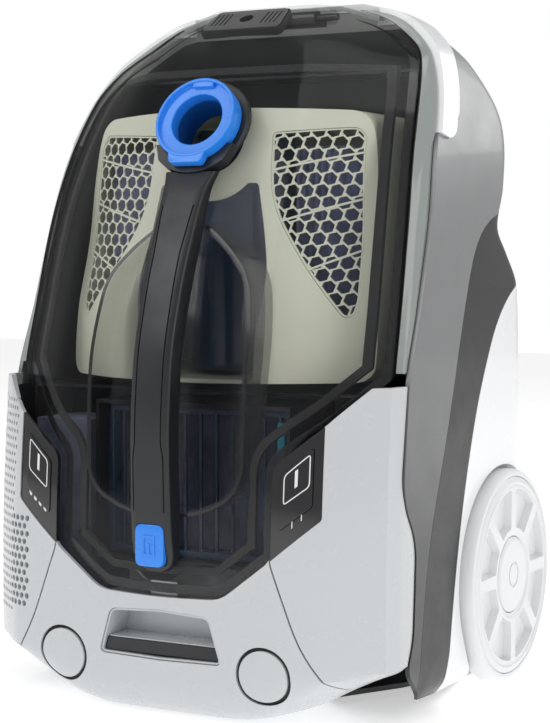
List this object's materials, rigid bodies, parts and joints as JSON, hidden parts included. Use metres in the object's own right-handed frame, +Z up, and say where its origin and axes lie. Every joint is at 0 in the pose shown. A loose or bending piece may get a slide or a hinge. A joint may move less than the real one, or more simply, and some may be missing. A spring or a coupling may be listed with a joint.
{
  "type": "canister vacuum cleaner",
  "caption": "Bagless canister vacuum cleaner parked upright: smoked hinged lid with carry handle and hose inlet, large spoked rear wheels, front caster.",
  "frame": {"origin": "centre of the bounding box on the plane that the parked cleaner stands on", "axes": "+Z up from the parking plane to the nose, -Y out of the lid, +X to the right as seen from the lid side"},
  "size_m": [0.318, 0.3, 0.4725],
  "materials": {
    "silver_shell": "satin metallic silver-grey moulding",
    "white_shell": "glossy white moulding",
    "pale_panel": "glossy light grey moulding",
    "dark_plastic": "fine-grained black moulding",
    "panel_gloss": "glossy dark control panel",
    "smoked_lid": "smoked transparent lid",
    "clear_rim": "frosted clear rim",
    "chamber_clear": "dark blue transparent chamber",
    "blue_plastic": "glossy blue moulding",
    "cream_plastic": "satin cream moulding",
    "filter_media": "pleated filter paper",
    "wheel_white": "satin white wheel",
    "tyre_white": "soft light tyre",
    "rubber": "black rubber",
    "steel": "brushed steel",
    "board": "green circuit board"
  },
  "bodies": {
    "root": {"upper_shell": "silver_shell", "rear_shell": "white_shell", "nose_band": "white_shell", "front_apron": "pale_panel", "side_shell_right": "pale_panel", "side_shell_left": "pale_panel", "exhaust_grille": "pale_panel", "grip_liner": "pale_panel", "apron_pad_right": "pale_panel", "apron_pad_left": "pale_panel", "control_panel_right": "panel_gloss", "control_panel_left": "panel_gloss", "base_plate": "silver_shell", "cord_outlet": "rubber", "foot_right": "rubber", "foot_left": "rubber", "bay_tray": "dark_plastic", "bay_seal": "rubber", "dust_box": "cream_plastic", "grille_right": "cream_plastic", "grille_left": "cream_plastic", "pleated_filter_right": "filter_media", "pleated_filter_left": "filter_media", "dust_chamber": "chamber_clear", "filter_bay": "dark_plastic", "motor_filter": "blue_plastic", "exhaust_filter": "filter_media", "motor_housing": "dark_plastic", "motor": "steel", "motor_mount": "rubber", "reel_frame": "dark_plastic", "control_board": "board", "hinge_pin": "steel", "hinge_bracket": "silver_shell", "wheel_right_axle": "steel", "wheel_left_axle": "steel", "caster_plate": "dark_plastic"},
    "lid": {"lid_cover": "smoked_lid", "lid_rim_right": "clear_rim", "lid_rim_left": "clear_rim", "inlet_neck": "dark_plastic", "inlet_duct": "dark_plastic", "carry_handle": "dark_plastic", "handle_inlay": "rubber", "nose_plate": "pale_panel"},
    "lock_ring": {"inlet_ring": "blue_plastic"},
    "release_button": {"lid_release_button": "blue_plastic"},
    "latch": {"lid_latch": "steel"},
    "power_key": {"power_button": "panel_gloss"},
    "rewind_key": {"rewind_button": "panel_gloss"},
    "wheel_right": {"wheel_right_tyre": "tyre_white", "wheel_right_disc": "wheel_white", "wheel_right_cap": "wheel_white"},
    "wheel_left": {"wheel_left_tyre": "tyre_white", "wheel_left_disc": "wheel_white", "wheel_left_cap": "wheel_white"},
    "caster_swivel": {"caster_fork": "dark_plastic"},
    "caster_wheel": {"caster_roller": "rubber"},
    "rotor": {"motor_fan": "steel"},
    "reel": {"cord_reel": "pale_panel"}
  },
  "joints": [
    {"name": "lid_hinge", "type": "hinge", "parent": "root", "child": "lid", "pos_m": [0, 0.03, 0.464], "axis": [-1, 0, 0], "range_deg": [0, 75]},
    {"name": "ring_turn", "type": "hinge", "parent": "lid", "child": "lock_ring", "pos_m": [0, -0.092, 0.388], "axis": [0, 0.9063, -0.4226], "range_deg": [0, 25]},
    {"name": "release_press", "type": "slide", "parent": "lid", "child": "release_button", "axis": [0, 1, 0], "range_m": [0, 0.003], "stiffness_N_per_m": 600, "springref_m": -0.001},
    {"name": "latch_slide", "type": "slide", "parent": "lid", "child": "latch", "axis": [0, 0, 1], "range_m": [0, 0.003]},
    {"name": "power_press", "type": "slide", "parent": "root", "child": "power_key", "axis": [0, 1, 0], "range_m": [0, 0.0025], "stiffness_N_per_m": 600, "springref_m": -0.001},
    {"name": "rewind_press", "type": "slide", "parent": "root", "child": "rewind_key", "axis": [0, 1, 0], "range_m": [0, 0.0025], "stiffness_N_per_m": 600, "springref_m": -0.001},
    {"name": "wheel_right_spin", "type": "hinge", "parent": "root", "child": "wheel_right", "pos_m": [0.149, 0.076, 0.0741], "axis": [1, 0, 0], "continuous": true},
    {"name": "wheel_left_spin", "type": "hinge", "parent": "root", "child": "wheel_left", "pos_m": [-0.149, 0.076, 0.0741], "axis": [1, 0, 0], "continuous": true},
    {"name": "caster_turn", "type": "hinge", "parent": "root", "child": "caster_swivel", "pos_m": [0, 0.13, 0.39], "axis": [0, 1, 0], "continuous": true},
    {"name": "caster_roll", "type": "hinge", "parent": "caster_swivel", "child": "caster_wheel", "pos_m": [0, 0.1395, 0.39], "axis": [1, 0, 0], "continuous": true},
    {"name": "rotor_spin", "type": "hinge", "parent": "root", "child": "rotor", "pos_m": [0.03, 0.044, 0.108], "axis": [1, 0, 0], "continuous": true},
    {"name": "reel_spin", "type": "hinge", "parent": "root", "child": "reel", "pos_m": [-0.064, 0.044, 0.108], "axis": [1, 0, 0], "continuous": true}
  ],
  "couplings": [
    {"joint": "latch_slide", "follows": "release_press", "ratio": 1}
  ]
}
